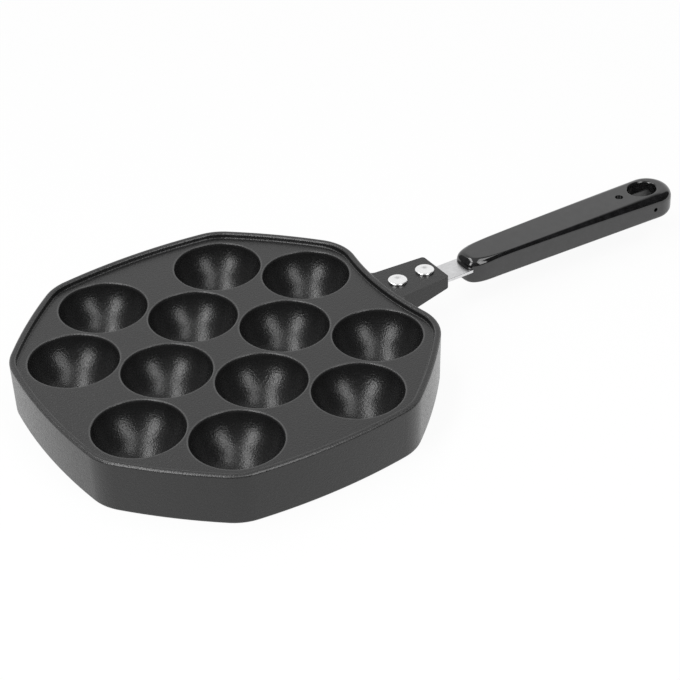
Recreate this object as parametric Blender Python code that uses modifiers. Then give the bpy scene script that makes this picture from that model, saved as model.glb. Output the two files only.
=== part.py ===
"""Takoyaki pan: a cast twelve-well griddle with a riveted steel bar and a moulded grip.

Lengths are in metres. The origin is the middle of the cooking plate's top face, +Z is up and the
handle points along +X. The rows of wells run at 45 degrees to the handle.
"""

from math import acos, atan2, cos, hypot, pi, radians, sin, sqrt

import bmesh
import bpy
from mathutils import Matrix, Vector

# Wells
WELL_PITCH = 0.0470
WELL_LAND = 0.0010
WELL_DEPTH = 0.0205
WELL_WALL = 0.0022
WELL_EDGE_RADIUS = 0.0007
WELLS_PER_ROW = 4

# Plan of the casting: land from the nearest wells to each kind of side, and the bow of the sides
FLAT_SIDE_LAND = 0.00925
DIAGONAL_SIDE_LAND = 0.0095
LUG_SIDE_LAND = 0.0029
SIDE_BOW_RADIUS = 0.285
LUG_SIDE_HOLLOW_RADIUS = 0.162
CORNER_RADIUS = 0.0260

# Section of the casting
PLATE_THICKNESS = 0.0030
RIM_RISE = 0.0025
RIM_WIDTH = 0.0033
RIM_EDGE_RADIUS = 0.0013
RIM_INNER_EDGE = 0.0007
RIM_FOOT_FILLET = 0.0007
RIM_DRAFT = 0.0002
SKIRT_WALL = 0.0032
SKIRT_DRAFT = 0.0006
FOOT_RADIUS = 0.0010
WELL_FOOT_GAP = 0.0024

# Lug
LUG_LENGTH = 0.0325
LUG_TIP_WIDTH = 0.0232
LUG_ROOT_WIDTH = 0.0274
LUG_DROP = 0.0019
LUG_TIP_THICKNESS = 0.0065
LUG_ROOT_THICKNESS = 0.0125
LUG_ROOT_FILLET = 0.0040
LUG_EDGE_RADIUS = 0.0006
LUG_WEB = 0.0050

# Rivets
RIVET_TIP_MARGIN = 0.0073
RIVET_SPACING = 0.0167
RIVET_SHANK_DIAMETER = 0.0050
RIVET_HEAD_DIAMETER = 0.0100
RIVET_HEAD_HEIGHT = 0.0009
RIVET_HEAD_RIM = 0.0005
RIVET_TAIL_DIAMETER = 0.0086
RIVET_TAIL_HEIGHT = 0.0018

# Steel bar
BAR_WIDTH = 0.0140
BAR_THICKNESS = 0.0017
BAR_EDGE_RADIUS = 0.0003
BAR_CORNER_RADIUS = 0.0020
BAR_INNER_MARGIN = 0.0070
BAR_EXPOSED_LENGTH = 0.0159
ANCHOR_HOLE_DIAMETER = 0.0060
ANCHOR_HOLE_SPACING = 0.0400
ANCHOR_HOLE_START = 0.0250

# Grip
GRIP_LENGTH = 0.1374
GRIP_NEAR_WIDTH = 0.0184
GRIP_FAR_WIDTH = 0.0259
GRIP_NEAR_THICKNESS = 0.0135
GRIP_FAR_THICKNESS = 0.0149
GRIP_COVER = 0.0051
GRIP_NOSE_LENGTH = 0.0186
GRIP_NOSE_FULLNESS = 3.2
GRIP_NOSE_EDGE_RADIUS = 0.0048
GRIP_NEAR_EDGE_RADIUS = 0.0018
GRIP_FAR_EDGE_RADIUS = 0.0038
HANG_HOLE_LENGTH = 0.0166
HANG_HOLE_WIDTH = 0.0140
HANG_HOLE_END_WALL = 0.0090
HANG_HOLE_EDGE_RADIUS = 0.0010
TANG_END_WALL = 0.0060
PIT_DIAMETER = 0.0044
PIT_DEPTH = 0.0012
PIT_HOLE_SPACING = 0.0157
PIN_HOLE_DIAMETER = 0.0024
PIN_HOLE_DEPTH = 0.0030

# Fits and cuts
FIT_GAP = 0.0003
OVERCUT = 0.0020

# Facets
SIDE_STEPS = 6
CORNER_STEPS = 6
EDGE_STEPS = 2
WELL_STEPS = 28
WELL_RINGS = 6
BUMP_STEPS = 20
BUMP_RINGS = 4
ROUND_STEPS = 32
FILLET_STEPS = 5
GRIP_NOSE_STEPS = 7
GRIP_SIDE_STEPS = 4
GRIP_END_STEPS = 20
GRIP_EDGE_STEPS = 5
SMOOTH_ANGLE = radians(32)
WELD_DISTANCE = 0.00001

# Sizes that follow from the ones above
WELL_OPENING_RADIUS = (WELL_PITCH - WELL_LAND) / 2
WELL_MOUTH_RADIUS = WELL_OPENING_RADIUS - WELL_EDGE_RADIUS
WELL_RADIUS = (WELL_MOUTH_RADIUS ** 2 + WELL_DEPTH ** 2) / (2 * WELL_DEPTH)
WELL_CENTRE_Z = WELL_RADIUS - WELL_DEPTH
BUMP_RADIUS = WELL_RADIUS + WELL_WALL
FOOT_Z = -(WELL_DEPTH + WELL_WALL + WELL_FOOT_GAP)
ROW_REACH = (WELLS_PER_ROW - 1) / 2 * WELL_PITCH
DIAGONAL_REACH = (WELLS_PER_ROW - 2) * WELL_PITCH / sqrt(2)
FLAT_SIDE_APOTHEM = ROW_REACH + WELL_OPENING_RADIUS + FLAT_SIDE_LAND
DIAGONAL_SIDE_APOTHEM = DIAGONAL_REACH + WELL_OPENING_RADIUS + DIAGONAL_SIDE_LAND
LUG_SIDE_APOTHEM = DIAGONAL_REACH + WELL_OPENING_RADIUS + LUG_SIDE_LAND
LUG_TIP_X = LUG_SIDE_APOTHEM + LUG_LENGTH
LUG_TOP_Z = RIM_RISE - LUG_DROP
BAR_TOP_Z = LUG_TOP_Z - LUG_WEB - FIT_GAP
BAR_MIDDLE_Z = BAR_TOP_Z - BAR_THICKNESS / 2
OUTER_RIVET_X = LUG_TIP_X - RIVET_TIP_MARGIN
INNER_RIVET_X = OUTER_RIVET_X - RIVET_SPACING
BAR_START_X = INNER_RIVET_X - BAR_INNER_MARGIN
GRIP_START_X = LUG_TIP_X + BAR_EXPOSED_LENGTH
GRIP_END_X = GRIP_START_X + GRIP_LENGTH
GRIP_TOP_Z = BAR_TOP_Z + GRIP_COVER
HANG_HOLE_X = GRIP_END_X - HANG_HOLE_END_WALL - HANG_HOLE_LENGTH / 2
BAR_END_X = HANG_HOLE_X - HANG_HOLE_LENGTH / 2 - TANG_END_WALL


def clear_scene():
    """Remove whatever the file opens with."""
    for item in list(bpy.data.objects):
        bpy.data.objects.remove(item, do_unlink=True)


def new_collection(name):
    collection = bpy.data.collections.new(name)
    bpy.context.scene.collection.children.link(collection)
    return collection


def new_material(name, colour, roughness, metallic):
    material = bpy.data.materials.new(name)
    material.use_nodes = True
    material.diffuse_color = (*colour, 1.0)
    shader = material.node_tree.nodes["Principled BSDF"]
    shader.inputs["Base Color"].default_value = (*colour, 1.0)
    shader.inputs["Roughness"].default_value = roughness
    shader.inputs["Metallic"].default_value = metallic
    return material


def add_object(name, data, collection, material=None):
    item = bpy.data.objects.new(name, data)
    collection.objects.link(item)
    if material is not None:
        item.data.materials.append(material)
    return item


def add_tool(name, data, collection):
    """A shape that cuts a piece or is joined to it, shown as wire."""
    item = add_object(name, data, collection)
    item.hide_render = True
    item.display_type = "WIRE"
    return item


def smooth(mesh):
    mesh.shade_smooth()
    mesh.set_sharp_from_angle(angle=SMOOTH_ANGLE)


def loft(name, rings):
    """Closed mesh through rings of equal count that run anticlockwise seen from the last ring."""
    mesh = bpy.data.meshes.new(name)
    shape = bmesh.new()
    loops = [[shape.verts.new(point) for point in ring] for ring in rings]
    count = len(loops[0])
    for lower, upper in zip(loops, loops[1:]):
        for i in range(count):
            j = (i + 1) % count
            shape.faces.new((lower[i], lower[j], upper[j], upper[i]))
    shape.faces.new(reversed(loops[0]))
    shape.faces.new(loops[-1])
    shape.to_mesh(mesh)
    shape.free()
    smooth(mesh)
    return mesh


def turned(name, profile, steps, collection, material=None):
    """Solid of revolution: the profile lists (radius, z) from the top down its outer side."""
    mesh = bpy.data.meshes.new(name)
    edges = [(i, i + 1) for i in range(len(profile) - 1)]
    mesh.from_pydata([(radius, 0.0, z) for radius, z in profile], edges, [])
    if material is None:
        item = add_tool(name, mesh, collection)
    else:
        item = add_object(name, mesh, collection, material)
    screw = item.modifiers.new("Turn", "SCREW")
    screw.steps = steps
    screw.render_steps = steps
    screw.use_merge_vertices = True
    screw.merge_threshold = WELD_DISTANCE
    screw.use_smooth_shade = True
    return item


def cylinder(name, radius, depth, collection):
    """Round cutter along Z, centred on its own origin."""
    mesh = bpy.data.meshes.new(name)
    shape = bmesh.new()
    bmesh.ops.create_cone(
        shape, cap_ends=True, segments=ROUND_STEPS, radius1=radius, radius2=radius, depth=depth
    )
    shape.to_mesh(mesh)
    shape.free()
    return add_tool(name, mesh, collection)


def plate_curve(name, outlines, thickness):
    """Flat sheet of one outer outline with holes, as a welded mesh centred on z = 0."""
    curve = bpy.data.curves.new(name, "CURVE")
    curve.dimensions = "2D"
    curve.fill_mode = "BOTH"
    curve.extrude = thickness / 2
    for outline in outlines:
        spline = curve.splines.new("POLY")
        spline.points.add(len(outline) - 1)
        for point, (x, y) in zip(spline.points, outline):
            point.co = (x, y, 0.0, 1.0)
        spline.use_cyclic_u = True
    guide = bpy.data.objects.new(name + "_outline", curve)
    bpy.context.scene.collection.objects.link(guide)
    bpy.context.view_layer.update()
    evaluated = guide.evaluated_get(bpy.context.evaluated_depsgraph_get())
    mesh = bpy.data.meshes.new_from_object(evaluated)
    mesh.name = name
    shape = bmesh.new()
    shape.from_mesh(mesh)
    bmesh.ops.remove_doubles(shape, verts=shape.verts, dist=WELD_DISTANCE)
    shape.to_mesh(mesh)
    shape.free()
    bpy.data.objects.remove(guide)
    return mesh


def boolean(target, tool, operation="DIFFERENCE"):
    """Cut or join one object, or every object of a collection."""
    modifier = target.modifiers.new(tool.name, "BOOLEAN")
    modifier.operation = operation
    modifier.solver = "EXACT"
    if isinstance(tool, bpy.types.Collection):
        modifier.operand_type = "COLLECTION"
        modifier.collection = tool
    else:
        modifier.object = tool


def weld(item):
    """Close the hairline edges that cuts leave between nearly meeting corners."""
    modifier = item.modifiers.new("Weld", "WELD")
    modifier.merge_threshold = WELD_DISTANCE


def circle(x, y, radius, steps=ROUND_STEPS):
    return [
        (x + radius * cos(2 * pi * i / steps), y + radius * sin(2 * pi * i / steps))
        for i in range(steps)
    ]


def rounded_box(x_low, x_high, half_width, radius, steps=FILLET_STEPS):
    """Anticlockwise rectangle centred on y = 0 with round corners."""
    radius = min(radius, half_width, (x_high - x_low) / 2)
    points = []
    corners = (
        (x_high - radius, half_width - radius, 0.0),
        (x_low + radius, half_width - radius, pi / 2),
        (x_low + radius, radius - half_width, pi),
        (x_high - radius, radius - half_width, 3 * pi / 2),
    )
    for x, y, start in corners:
        for i in range(steps + 1):
            angle = start + pi / 2 * i / steps
            points.append((x + radius * cos(angle), y + radius * sin(angle)))
    return points


def quarter(radius, steps):
    """Points of a quarter round as (distance in, distance up), from its foot to its top."""
    angles = [pi / 2 * i / steps for i in range(steps + 1)]
    return [(radius * (1 - cos(angle)), radius * sin(angle)) for angle in angles]


def body_sides():
    """Eight sides as (normal angle, arc centre, signed arc radius), from the lug's side round."""
    sides = []
    for k in range(8):
        angle = k * pi / 4
        if k == 0:
            apothem, radius = LUG_SIDE_APOTHEM, -LUG_SIDE_HOLLOW_RADIUS
        elif k % 2 == 0:
            apothem, radius = DIAGONAL_SIDE_APOTHEM, SIDE_BOW_RADIUS
        else:
            apothem, radius = FLAT_SIDE_APOTHEM, SIDE_BOW_RADIUS
        outward = Vector((cos(angle), sin(angle)))
        sides.append((angle, outward * (apothem - radius), radius))
    return sides


def corner_centre(side, following):
    """Centre of the round corner that is tangent to two neighbouring side arcs."""
    angle, start, start_radius = side
    next_angle, end, end_radius = following
    reach = abs(start_radius - CORNER_RADIUS)
    next_reach = abs(end_radius - CORNER_RADIUS)
    gap = end - start
    along = (reach ** 2 - next_reach ** 2 + gap.length_squared) / (2 * gap.length)
    across = sqrt(reach ** 2 - along ** 2)
    foot = start + gap.normalized() * along
    sideways = Vector((-gap.y, gap.x)).normalized() * across
    middle = angle + pi / 8
    outward = Vector((cos(middle), sin(middle)))
    return max((foot + sideways, foot - sideways), key=lambda point: point.dot(outward))


def normal_angle(corner, side, near):
    """Direction of the outline's normal where a side's arc meets a corner."""
    _, centre, radius = side
    normal = (corner - centre) / (radius - CORNER_RADIUS)
    angle = atan2(normal.y, normal.x)
    return near + (angle - near + pi) % (2 * pi) - pi


def body_outline(inset, z):
    """Ring of the octagon drawn in by inset, every stretch an arc about a fixed centre."""
    sides = body_sides()
    corners = [corner_centre(sides[k], sides[(k + 1) % 8]) for k in range(8)]
    points = []
    for k, side in enumerate(sides):
        angle, centre, radius = side
        following = sides[(k + 1) % 8]
        begin = normal_angle(corners[k - 1], side, angle)
        end = normal_angle(corners[k], side, angle)
        turn = normal_angle(corners[k], following, angle + pi / 4)
        for i in range(SIDE_STEPS):
            theta = begin + (end - begin) * i / SIDE_STEPS
            normal = Vector((cos(theta), sin(theta)))
            points.append(centre + normal * (radius - inset))
        for i in range(CORNER_STEPS):
            theta = end + (turn - end) * i / CORNER_STEPS
            normal = Vector((cos(theta), sin(theta)))
            points.append(corners[k] + normal * (CORNER_RADIUS - inset))
    return [(point.x, point.y, z) for point in points]


def casting_section():
    """(inset, z) of the casting's outside, from the foot up the wall and down to the plate."""
    section = [(SKIRT_DRAFT + across, FOOT_Z + FOOT_RADIUS - up)
               for across, up in reversed(quarter(FOOT_RADIUS, EDGE_STEPS))]
    section += [(across, RIM_RISE - RIM_EDGE_RADIUS + up)
                for across, up in quarter(RIM_EDGE_RADIUS, EDGE_STEPS)]
    section += [
        (RIM_WIDTH - RIM_INNER_EDGE, RIM_RISE),
        (RIM_WIDTH, RIM_RISE - RIM_INNER_EDGE),
        (RIM_WIDTH + RIM_DRAFT, RIM_FOOT_FILLET),
        (RIM_WIDTH + RIM_DRAFT + RIM_FOOT_FILLET, 0.0),
    ]
    return section


def well_places():
    """Centres of the wells: a square grid without its corners, turned to the handle."""
    middle = (WELLS_PER_ROW - 1) / 2
    last = WELLS_PER_ROW - 1
    places = []
    for row in range(WELLS_PER_ROW):
        for column in range(WELLS_PER_ROW):
            if row in (0, last) and column in (0, last):
                continue
            place = Vector(((column - middle) * WELL_PITCH, (row - middle) * WELL_PITCH, 0.0))
            places.append(Matrix.Rotation(-pi / 4, 3, "Z") @ place)
    return places


def add_copies(first, places):
    """Put the first object at the first place and a linked copy at each other one."""
    first.location = places[0]
    for place in places[1:]:
        copy = first.copy()
        first.users_collection[0].objects.link(copy)
        copy.location = place


def well_profile():
    """Cutter for one well: a round lip, then a spherical bowl."""
    lip_centre = sqrt(WELL_RADIUS ** 2 - (WELL_CENTRE_Z + WELL_EDGE_RADIUS) ** 2) + WELL_EDGE_RADIUS
    profile = [(0.0, RIM_RISE + OVERCUT), (lip_centre, RIM_RISE + OVERCUT), (lip_centre, 0.0)]
    for i in range(1, EDGE_STEPS + 1):
        angle = pi / 2 * i / EDGE_STEPS
        profile.append((
            lip_centre - WELL_EDGE_RADIUS * sin(angle),
            -WELL_EDGE_RADIUS * (1 - cos(angle)),
        ))
    start = acos((WELL_CENTRE_Z + WELL_EDGE_RADIUS) / WELL_RADIUS)
    for i in range(1, WELL_RINGS + 1):
        angle = start * (1 - i / WELL_RINGS)
        profile.append((WELL_RADIUS * sin(angle), WELL_CENTRE_Z - WELL_RADIUS * cos(angle)))
    return profile


def bump_profile():
    """The underside of one well: a cap that starts inside the plate."""
    top = -PLATE_THICKNESS / 2
    start = acos((WELL_CENTRE_Z - top) / BUMP_RADIUS)
    profile = [(0.0, top)]
    for i in range(BUMP_RINGS + 1):
        angle = start * (1 - i / BUMP_RINGS)
        profile.append((BUMP_RADIUS * sin(angle), WELL_CENTRE_Z - BUMP_RADIUS * cos(angle)))
    return profile


def lug_section(x):
    """Half width, underside and top of the lug at x, with the flare that meets the skirt."""
    share = (x - LUG_SIDE_APOTHEM) / LUG_LENGTH
    half_width = (LUG_ROOT_WIDTH + (LUG_TIP_WIDTH - LUG_ROOT_WIDTH) * share) / 2
    thickness = LUG_ROOT_THICKNESS + (LUG_TIP_THICKNESS - LUG_ROOT_THICKNESS) * share
    into_fillet = min(LUG_ROOT_FILLET, max(0.0, LUG_SIDE_APOTHEM + LUG_ROOT_FILLET - x))
    half_width += LUG_ROOT_FILLET - sqrt(LUG_ROOT_FILLET ** 2 - into_fillet ** 2)
    return half_width, LUG_TOP_Z - thickness, LUG_TOP_Z


def add_lug(tools):
    """The lug: a tapered block whose flared root is buried in the skirt wall."""
    stations = [LUG_SIDE_APOTHEM - SKIRT_WALL / 2]
    for i in range(FILLET_STEPS + 1):
        angle = pi / 2 * i / FILLET_STEPS
        stations.append(LUG_SIDE_APOTHEM + LUG_ROOT_FILLET * (1 - cos(angle)))
    stations.append(LUG_TIP_X)
    rings = []
    for x in stations:
        half_width, low, high = lug_section(x)
        rings.append([(x, -half_width, low), (x, half_width, low),
                      (x, half_width, high), (x, -half_width, high)])
    lug = add_tool("lug", loft("lug", rings), tools)
    edge = lug.modifiers.new("Edges", "BEVEL")
    edge.width = LUG_EDGE_RADIUS
    edge.segments = 2
    edge.limit_method = "ANGLE"
    edge.angle_limit = radians(50)
    return lug


def add_bar_channel(tools):
    """Channel under the lug that the bar lies in, open at the tip."""
    outline = rounded_box(
        BAR_START_X - FIT_GAP, LUG_TIP_X + OVERCUT, BAR_WIDTH / 2 + FIT_GAP, BAR_CORNER_RADIUS + FIT_GAP
    )
    depth = LUG_ROOT_THICKNESS
    channel = add_tool("bar_channel", plate_curve("bar_channel", [outline], depth), tools)
    channel.location.z = BAR_TOP_Z + FIT_GAP - depth / 2
    return channel


def add_pan_body(parts, tools, bumps, wells, material):
    rings = [body_outline(inset, z) for inset, z in casting_section()]
    body = add_object("pan_body", loft("pan_body", rings), parts, material)

    pocket_rings = [
        body_outline(SKIRT_DRAFT + SKIRT_WALL, FOOT_Z - OVERCUT),
        body_outline(SKIRT_DRAFT + SKIRT_WALL, FOOT_Z),
        body_outline(SKIRT_DRAFT * 2 + SKIRT_WALL, -PLATE_THICKNESS),
    ]
    pocket = add_tool("underside_pocket", loft("underside_pocket", pocket_rings), tools)
    boolean(body, pocket)

    bump = turned("well_bump", bump_profile(), BUMP_STEPS, bumps)
    add_copies(bump, well_places())
    boolean(body, bumps, "UNION")

    boolean(body, add_lug(tools), "UNION")

    well = turned("well", well_profile(), WELL_STEPS, wells)
    add_copies(well, well_places())
    boolean(body, wells)

    boolean(body, add_bar_channel(tools))
    for name, x in (("inner_rivet_hole", INNER_RIVET_X), ("outer_rivet_hole", OUTER_RIVET_X)):
        hole = cylinder(name, RIVET_SHANK_DIAMETER / 2 + FIT_GAP, LUG_ROOT_THICKNESS * 2, tools)
        hole.location = (x, 0.0, 0.0)
        boolean(body, hole)
    weld(body)


def rivet_profile():
    """One rivet: low domed head on the lug, shank, and the formed tail under the bar."""
    head_foot = LUG_TOP_Z + FIT_GAP
    head_radius = RIVET_HEAD_DIAMETER / 2
    shank_radius = RIVET_SHANK_DIAMETER / 2
    tail_radius = RIVET_TAIL_DIAMETER / 2
    tail_top = BAR_TOP_Z - BAR_THICKNESS - FIT_GAP
    dome = RIVET_HEAD_HEIGHT - RIVET_HEAD_RIM
    profile = []
    for i in range(FILLET_STEPS + 1):
        angle = pi / 2 * i / FILLET_STEPS
        profile.append((head_radius * sin(angle), head_foot + RIVET_HEAD_RIM + dome * cos(angle)))
    profile += [
        (head_radius, head_foot),
        (shank_radius, head_foot),
        (shank_radius, tail_top),
        (tail_radius, tail_top),
        (tail_radius, tail_top - RIVET_TAIL_HEIGHT / 2),
        (tail_radius - RIVET_TAIL_HEIGHT / 2, tail_top - RIVET_TAIL_HEIGHT),
        (0.0, tail_top - RIVET_TAIL_HEIGHT),
    ]
    return profile


def add_rivets(parts, material):
    for name, x in (("inner_rivet", INNER_RIVET_X), ("outer_rivet", OUTER_RIVET_X)):
        rivet = turned(name, rivet_profile(), ROUND_STEPS, parts, material)
        rivet.location = (x, 0.0, 0.0)


def anchor_places():
    """Holes in the bar that the grip's moulding flows through."""
    places = []
    x = GRIP_START_X + ANCHOR_HOLE_START
    while x < BAR_END_X - ANCHOR_HOLE_DIAMETER:
        places.append(x)
        x += ANCHOR_HOLE_SPACING
    return places


def add_handle_bar(parts, material):
    outline = rounded_box(BAR_START_X, BAR_END_X, BAR_WIDTH / 2, BAR_CORNER_RADIUS)
    holes = [circle(x, 0.0, RIVET_SHANK_DIAMETER / 2 + FIT_GAP) for x in (INNER_RIVET_X, OUTER_RIVET_X)]
    holes += [circle(x, 0.0, ANCHOR_HOLE_DIAMETER / 2) for x in anchor_places()]
    mesh = plate_curve("handle_bar", [outline] + holes, BAR_THICKNESS)
    smooth(mesh)
    bar = add_object("handle_bar", mesh, parts, material)
    bar.location.z = BAR_MIDDLE_Z
    edge = bar.modifiers.new("Edges", "BEVEL")
    edge.width = BAR_EDGE_RADIUS
    edge.segments = 1
    edge.limit_method = "ANGLE"
    edge.angle_limit = radians(60)
    return bar


def grip_share(x):
    return (x - GRIP_START_X) / GRIP_LENGTH


def grip_half_width(x):
    return (GRIP_NEAR_WIDTH + (GRIP_FAR_WIDTH - GRIP_NEAR_WIDTH) * grip_share(x)) / 2


def grip_thickness(x):
    return GRIP_NEAR_THICKNESS + (GRIP_FAR_THICKNESS - GRIP_NEAR_THICKNESS) * grip_share(x)


def grip_edge_radius(x, on_top):
    """Rounding of the edges at x: it grows towards the far end, and round the top of the nose."""
    radius = GRIP_NEAR_EDGE_RADIUS + (GRIP_FAR_EDGE_RADIUS - GRIP_NEAR_EDGE_RADIUS) * grip_share(x)
    if on_top:
        nose = max(0.0, 1.0 - (x - GRIP_START_X) / GRIP_NOSE_LENGTH)
        radius += (GRIP_NOSE_EDGE_RADIUS - GRIP_NEAR_EDGE_RADIUS) * nose
    return radius


def grip_outline():
    """Plan of the grip: a full oval nose, widening sides and a round far end."""
    far_radius = GRIP_FAR_WIDTH / 2
    near_x = GRIP_START_X + GRIP_NOSE_LENGTH
    far_x = GRIP_END_X - far_radius
    upper = []
    for i in range(1, GRIP_NOSE_STEPS + 1):
        angle = pi / 2 * i / GRIP_NOSE_STEPS
        x = near_x - GRIP_NOSE_LENGTH * max(0.0, cos(angle)) ** (2 / GRIP_NOSE_FULLNESS)
        upper.append((x, grip_half_width(near_x) * sin(angle) ** (2 / GRIP_NOSE_FULLNESS)))
    for i in range(1, GRIP_SIDE_STEPS):
        x = near_x + (far_x - near_x) * i / GRIP_SIDE_STEPS
        upper.append((x, grip_half_width(x)))
    round_steps = GRIP_END_STEPS // 2
    for i in range(round_steps):
        angle = pi / 2 - pi / 2 * i / round_steps
        upper.append((far_x + far_radius * cos(angle), grip_half_width(far_x) * sin(angle)))
    lower = [(x, -y) for x, y in upper]
    return [(GRIP_START_X, 0.0)] + lower + [(GRIP_END_X, 0.0)] + list(reversed(upper))


def add_hang_hole(tools):
    """Oval cutter whose ends flare to round the hole's edges."""
    bottom = GRIP_TOP_Z - grip_thickness(HANG_HOLE_X)
    lip = quarter(HANG_HOLE_EDGE_RADIUS, EDGE_STEPS)
    levels = [(HANG_HOLE_EDGE_RADIUS, bottom - OVERCUT)]
    levels += [(HANG_HOLE_EDGE_RADIUS - up, bottom + across) for across, up in lip]
    levels += [(HANG_HOLE_EDGE_RADIUS - up, GRIP_TOP_Z - across) for across, up in reversed(lip)]
    levels += [(HANG_HOLE_EDGE_RADIUS, GRIP_TOP_Z + OVERCUT)]
    rings = []
    for grow, z in levels:
        rings.append([
            (HANG_HOLE_X + (HANG_HOLE_LENGTH / 2 + grow) * cos(2 * pi * i / ROUND_STEPS),
             (HANG_HOLE_WIDTH / 2 + grow) * sin(2 * pi * i / ROUND_STEPS),
             z)
            for i in range(ROUND_STEPS)
        ])
    return add_tool("hang_hole", loft("hang_hole", rings), tools)


def add_tang_socket(tools):
    """Cavity that the bar fills, with the moulding's pegs left standing in the bar's holes."""
    outline = rounded_box(
        GRIP_START_X - OVERCUT, BAR_END_X + FIT_GAP, BAR_WIDTH / 2 + FIT_GAP, BAR_CORNER_RADIUS + FIT_GAP
    )
    pegs = [circle(x, 0.0, ANCHOR_HOLE_DIAMETER / 2 - FIT_GAP) for x in anchor_places()]
    mesh = plate_curve("tang_socket", [outline] + pegs, BAR_THICKNESS + 2 * FIT_GAP)
    socket = add_tool("tang_socket", mesh, tools)
    socket.location.z = BAR_MIDDLE_Z
    return socket


def add_grip(parts, tools, material):
    outline = grip_outline()
    rings = [
        [(x, y, GRIP_TOP_Z - grip_thickness(x)) for x, y in outline],
        [(x, y, GRIP_TOP_Z) for x, y in outline],
    ]
    mesh = loft("grip", rings)
    largest = max(GRIP_NOSE_EDGE_RADIUS, GRIP_FAR_EDGE_RADIUS)
    weights = mesh.attributes.new("bevel_weight_edge", "FLOAT", "EDGE")
    for edge in mesh.edges:
        start, end = (mesh.vertices[i].co for i in edge.vertices)
        if hypot(end.x - start.x, end.y - start.y) > WELD_DISTANCE:
            on_top = start.z > GRIP_TOP_Z - WELD_DISTANCE
            weights.data[edge.index].value = grip_edge_radius((start.x + end.x) / 2, on_top) / largest
    grip = add_object("grip", mesh, parts, material)
    rounding = grip.modifiers.new("Edges", "BEVEL")
    rounding.width = largest
    rounding.segments = GRIP_EDGE_STEPS
    rounding.limit_method = "WEIGHT"
    rounding.use_clamp_overlap = False

    boolean(grip, add_hang_hole(tools))
    boolean(grip, add_tang_socket(tools))

    pit = cylinder("pin_pit", PIT_DIAMETER / 2, PIT_DEPTH * 2, tools)
    pit.location = (HANG_HOLE_X - PIT_HOLE_SPACING, 0.0, GRIP_TOP_Z)
    boolean(grip, pit)

    pin_x = HANG_HOLE_X
    pin = cylinder("pin_hole", PIN_HOLE_DIAMETER / 2, PIN_HOLE_DEPTH * 2, tools)
    pin.rotation_euler.x = pi / 2
    pin.location = (pin_x, -grip_half_width(pin_x), GRIP_TOP_Z - grip_thickness(pin_x) / 2)
    boolean(grip, pin)
    weld(grip)


def main():
    clear_scene()
    parts = new_collection("takoyaki_pan")
    tools = new_collection("cutters")
    bumps = new_collection("well_bumps")
    wells = new_collection("wells")
    coated = new_material("coated_casting", (0.070, 0.070, 0.072), 0.50, 0.30)
    steel = new_material("bright_steel", (0.780, 0.780, 0.790), 0.25, 1.0)
    rivet_metal = new_material("rivet_metal", (0.860, 0.860, 0.860), 0.20, 1.0)
    moulding = new_material("black_moulding", (0.012, 0.012, 0.013), 0.12, 0.0)
    add_pan_body(parts, tools, bumps, wells, coated)
    add_handle_bar(parts, steel)
    add_rivets(parts, rivet_metal)
    add_grip(parts, tools, moulding)
    bpy.context.view_layer.update()


main()
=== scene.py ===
"""Looks of a takoyaki pan: a coated casting, bright rivets, a steel bar and a glossy grip.

Laid out as an add-on that is run as a script. Lengths are in metres, +Z is up, the origin is the
middle of the cooking plate and the handle points along +X.
"""

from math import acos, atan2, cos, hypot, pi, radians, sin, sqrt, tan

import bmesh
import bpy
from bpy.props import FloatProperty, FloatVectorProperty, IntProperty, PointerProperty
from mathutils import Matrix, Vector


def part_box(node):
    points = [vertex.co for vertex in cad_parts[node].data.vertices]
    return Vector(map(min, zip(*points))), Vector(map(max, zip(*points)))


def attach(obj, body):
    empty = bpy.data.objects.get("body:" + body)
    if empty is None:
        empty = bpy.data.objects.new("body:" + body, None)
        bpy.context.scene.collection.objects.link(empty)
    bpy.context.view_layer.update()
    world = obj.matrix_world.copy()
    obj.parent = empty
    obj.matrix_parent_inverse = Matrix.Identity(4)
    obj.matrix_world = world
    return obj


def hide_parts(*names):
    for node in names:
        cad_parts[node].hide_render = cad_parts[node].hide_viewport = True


bl_info = {
    "name": "Takoyaki Pan Looks",
    "version": (1, 0, 0),
    "blender": (4, 5, 0),
    "location": "3D View > Sidebar > Takoyaki Pan",
    "description": "Builds the finished casting, rivets, bar and grip of a takoyaki pan, with its studio",
    "category": "Object",
}

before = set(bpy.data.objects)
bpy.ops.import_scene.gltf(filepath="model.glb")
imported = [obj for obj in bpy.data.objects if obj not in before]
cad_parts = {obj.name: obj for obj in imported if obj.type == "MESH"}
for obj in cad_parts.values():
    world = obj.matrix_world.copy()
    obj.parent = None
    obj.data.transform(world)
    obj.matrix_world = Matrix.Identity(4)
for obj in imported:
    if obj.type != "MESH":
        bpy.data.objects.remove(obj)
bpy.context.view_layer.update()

PAN_LOW, PAN_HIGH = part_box("pan_body")
BAR_LOW, BAR_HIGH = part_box("handle_bar")
GRIP_LOW, GRIP_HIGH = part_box("grip")
INNER_LOW, INNER_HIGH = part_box("inner_rivet")
OUTER_LOW, OUTER_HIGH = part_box("outer_rivet")

FIT_GAP = 0.0003  # play round the bar in the lug's channel and the grip's slot
OVERCUT = 0.0020  # how far a cutter passes the faces that it opens
WELD_DISTANCE = 0.000005  # points nearer than this are merged
OVERLAP = 4 * WELD_DISTANCE  # how far the fillets of the well undersides run into the plate
SLOT_CORNER = 0.0023  # round corners of the channel and the slot, in plan
DISH_CREST = 1.15  # where a rivet's dish gives way to its dome, in shares of the dish
FLOOR_GAP = 0.0001  # air between the pan's foot and the floor
COATING_IOR, GRIP_IOR = 1.52, 1.70
COATING_LIGHTEST, GRIP_LIGHTEST = 1.8, 4.0  # lightest tones, in shares of their colour
FLOOR_WHITE = 0.93  # share of the floor that is plain white to the camera
NODE_SPACING = 190
SHARP_ANGLE = radians(40)
MIX_FIRST, MIX_SECOND, MIX_RESULT = 6, 7, 2  # colour sockets of a Mix node
BODY = "root"


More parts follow.
